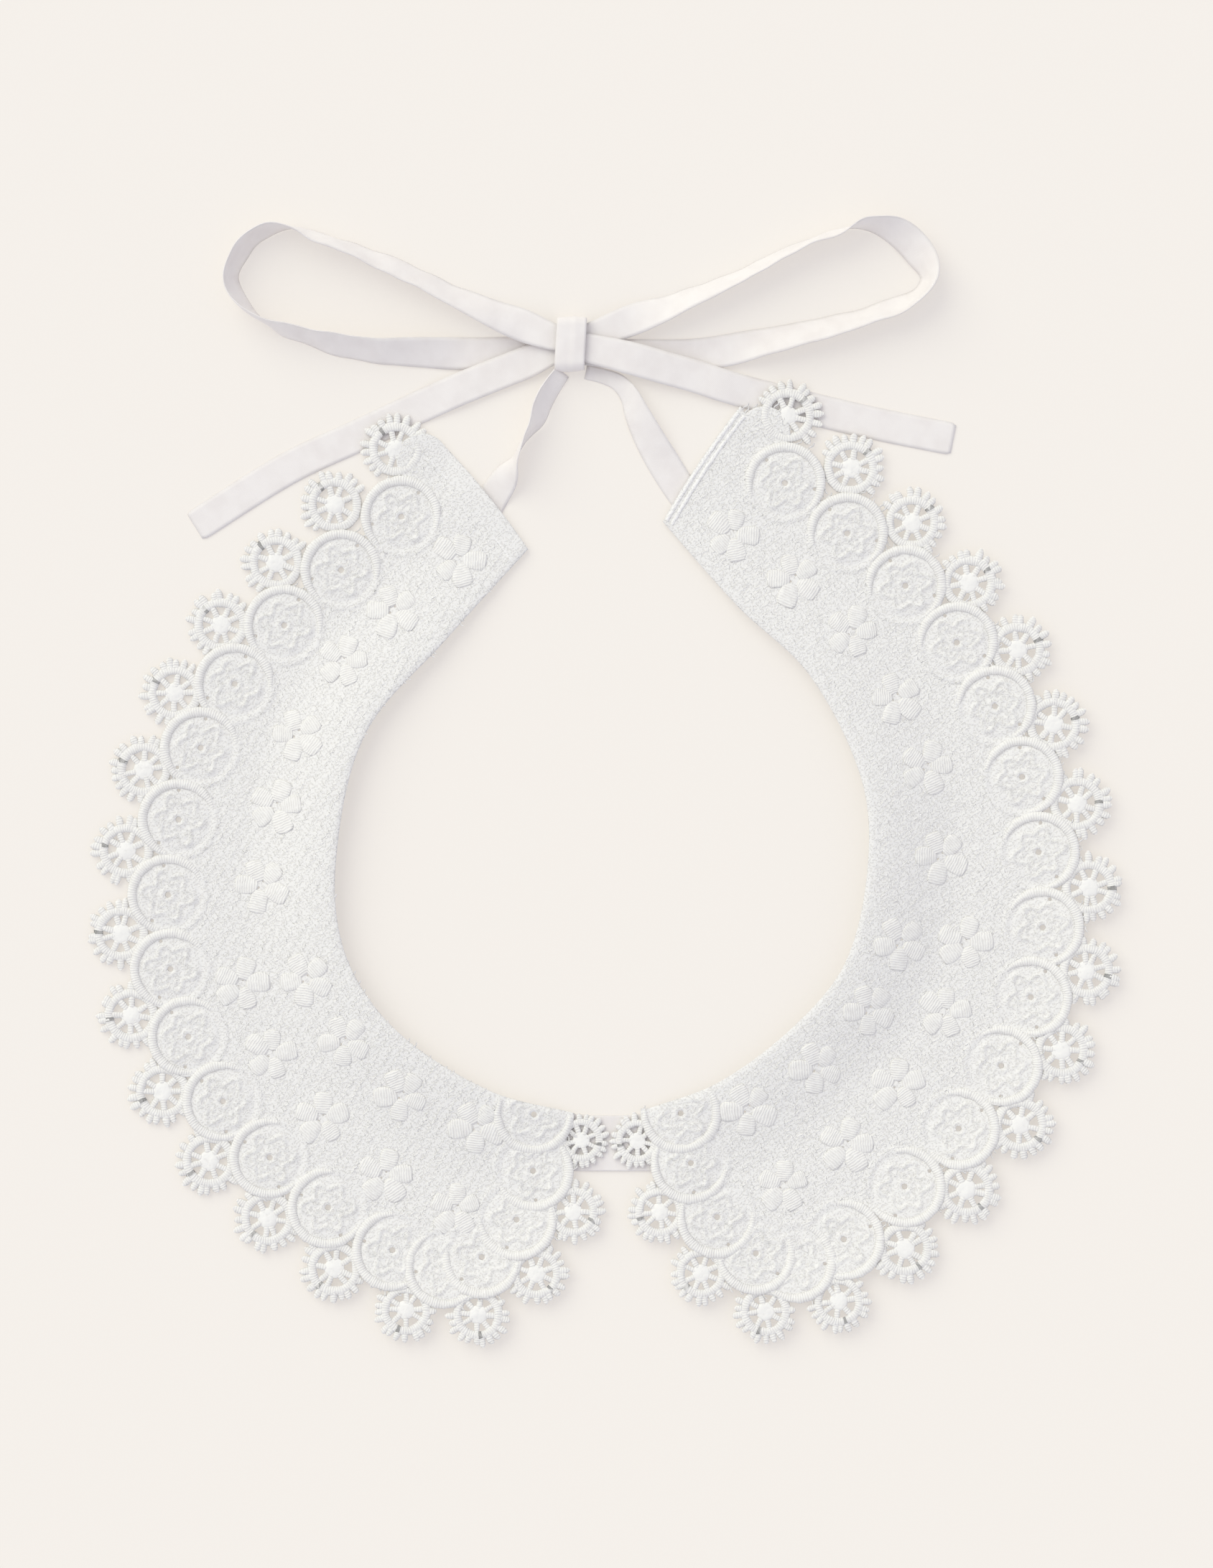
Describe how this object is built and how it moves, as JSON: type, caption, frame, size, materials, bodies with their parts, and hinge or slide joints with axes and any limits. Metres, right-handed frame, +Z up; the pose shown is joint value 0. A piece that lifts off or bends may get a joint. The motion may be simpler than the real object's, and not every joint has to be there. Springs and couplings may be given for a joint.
{
  "type": "lace collar",
  "caption": "Detachable lace collar laid flat: two rounded halves edged with scallops and small spoked wheels, joined at the front neckband and tied behind the neck in a narrow tape bow.",
  "frame": {"origin": "middle of the underside of the whole collar's box, on the surface it lies on", "axes": "+Y from the rounded front points to the bow behind the neck, +Z up out of the surface, +X towards the right half as seen from above"},
  "size_m": [0.3183, 0.3459, 0.0107],
  "materials": {
    "cotton guipure": "matt white machine-embroidered cotton lace with raised satin stitch",
    "cotton lawn tape": "matt white plain-woven cotton tape"
  },
  "bodies": {
    "root": {"lace_left": "cotton guipure", "lace_right": "cotton guipure", "neckband": "cotton lawn tape", "strap_left": "cotton lawn tape", "strap_right": "cotton lawn tape", "bow_loop_left": "cotton lawn tape", "bow_loop_right": "cotton lawn tape", "tail_left": "cotton lawn tape", "tail_right": "cotton lawn tape", "knot_wrap": "cotton lawn tape"}
  },
  "joints": []
}
